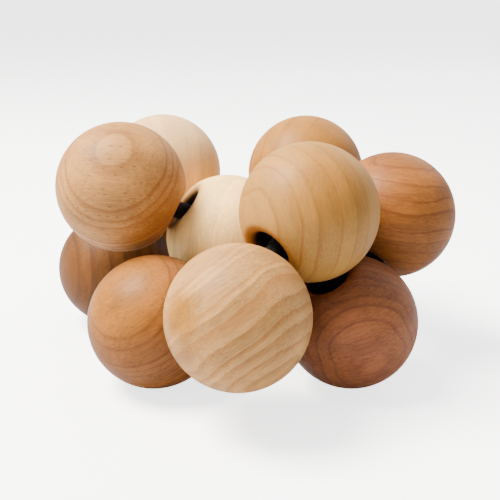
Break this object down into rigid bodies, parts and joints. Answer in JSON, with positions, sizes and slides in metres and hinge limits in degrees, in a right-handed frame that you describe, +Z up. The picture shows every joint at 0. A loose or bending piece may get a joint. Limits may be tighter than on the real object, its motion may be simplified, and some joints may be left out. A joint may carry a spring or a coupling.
{
  "type": "twisting ball puzzle",
  "caption": "Cluster of turned hardwood balls threaded on a closed loop of black elastic cord, each of which twists on its neighbours.",
  "frame": {"origin": "middle of the box round the folded cluster, on the table that it stands on", "axes": "+X to the right of a person who faces the front ball, +Y away from them, +Z up"},
  "size_m": [0.1, 0.112, 0.0575],
  "materials": {
    "birch": "turned, sanded and waxed",
    "maple": "turned, sanded and waxed",
    "beech": "turned, sanded and waxed",
    "cherry": "turned, sanded and waxed",
    "dark_cherry": "turned, sanded and waxed",
    "elastic": "woven black elastic cord"
  },
  "bodies": {
    "front": {"ball_front": "birch", "cord_front": "elastic"},
    "front_left": {"ball_front_left": "cherry", "cord_front_left": "elastic"},
    "middle": {"ball_middle": "maple", "cord_middle": "elastic"},
    "top_left": {"ball_top_left": "beech", "cord_top_left": "elastic"},
    "back_left": {"ball_back_left": "maple", "cord_back_left": "elastic"},
    "low_left": {"ball_low_left": "dark_cherry", "cord_low_left": "elastic"},
    "rear_left": {"ball_rear_left": "birch", "cord_rear_left": "elastic", "cord_knot": "elastic"},
    "rear_right": {"ball_rear_right": "cherry", "cord_rear_right": "elastic"},
    "back_right": {"ball_back_right": "beech", "cord_back_right": "elastic"},
    "right": {"ball_right": "cherry", "cord_right": "elastic"},
    "front_right": {"ball_front_right": "dark_cherry", "cord_front_right": "elastic"},
    "top": {"ball_top": "maple", "cord_top": "elastic"}
  },
  "joints": [
    {"name": "twist_middle", "type": "hinge", "parent": "front_left", "child": "middle", "pos_m": [-0.0045, 0, 0.0285], "axis": [-0.3608, -0.7108, -0.6039], "range_deg": [-20, 0]},
    {"name": "twist_top_left", "type": "hinge", "parent": "middle", "child": "top_left", "pos_m": [-0.029, -0.007, 0.0425], "axis": [0.8783, 0.0179, -0.4779], "range_deg": [-20, 0]},
    {"name": "twist_back_left", "type": "hinge", "parent": "top_left", "child": "back_left", "pos_m": [-0.022, 0.022, 0.04], "axis": [-0.2265, -0.9457, 0.2332], "range_deg": [-110, 0]},
    {"name": "twist_low_left", "type": "hinge", "parent": "back_left", "child": "low_left", "pos_m": [-0.035, 0.0165, 0.015], "axis": [0.3637, 0.0308, 0.931], "range_deg": [0, 120]},
    {"name": "twist_rear_left", "type": "hinge", "parent": "low_left", "child": "rear_left", "pos_m": [-0.0205, 0.041, 0.015], "axis": [-0.4324, -0.9004, -0.0471], "continuous": true},
    {"name": "twist_front", "type": "hinge", "parent": "front_left", "child": "front", "pos_m": [-0.0015, -0.041, 0.0235], "axis": [-0.6412, 0.7242, -0.2538], "range_deg": [0, 120]},
    {"name": "twist_top", "type": "hinge", "parent": "front", "child": "top", "pos_m": [0.0135, -0.0245, 0.041], "axis": [-0.6441, -0.6116, -0.4594], "range_deg": [0, 110]},
    {"name": "twist_front_right", "type": "hinge", "parent": "top", "child": "front_right", "pos_m": [0.0235, -0.022, 0.015], "axis": [-0.4451, -0.2446, 0.8614], "range_deg": [-120, 0]},
    {"name": "twist_right", "type": "hinge", "parent": "front_right", "child": "right", "pos_m": [0.035, -0.002, 0.0345], "axis": [-0.492, -0.5337, -0.6878], "range_deg": [0, 120]},
    {"name": "twist_back_right", "type": "hinge", "parent": "right", "child": "back_right", "pos_m": [0.0155, 0.02, 0.04], "axis": [0.5973, -0.718, -0.3575], "range_deg": [0, 120]},
    {"name": "twist_rear_right", "type": "hinge", "parent": "back_right", "child": "rear_right", "pos_m": [0.0085, 0.031, 0.015], "axis": [0.0861, -0.3767, 0.9223], "continuous": true}
  ]
}
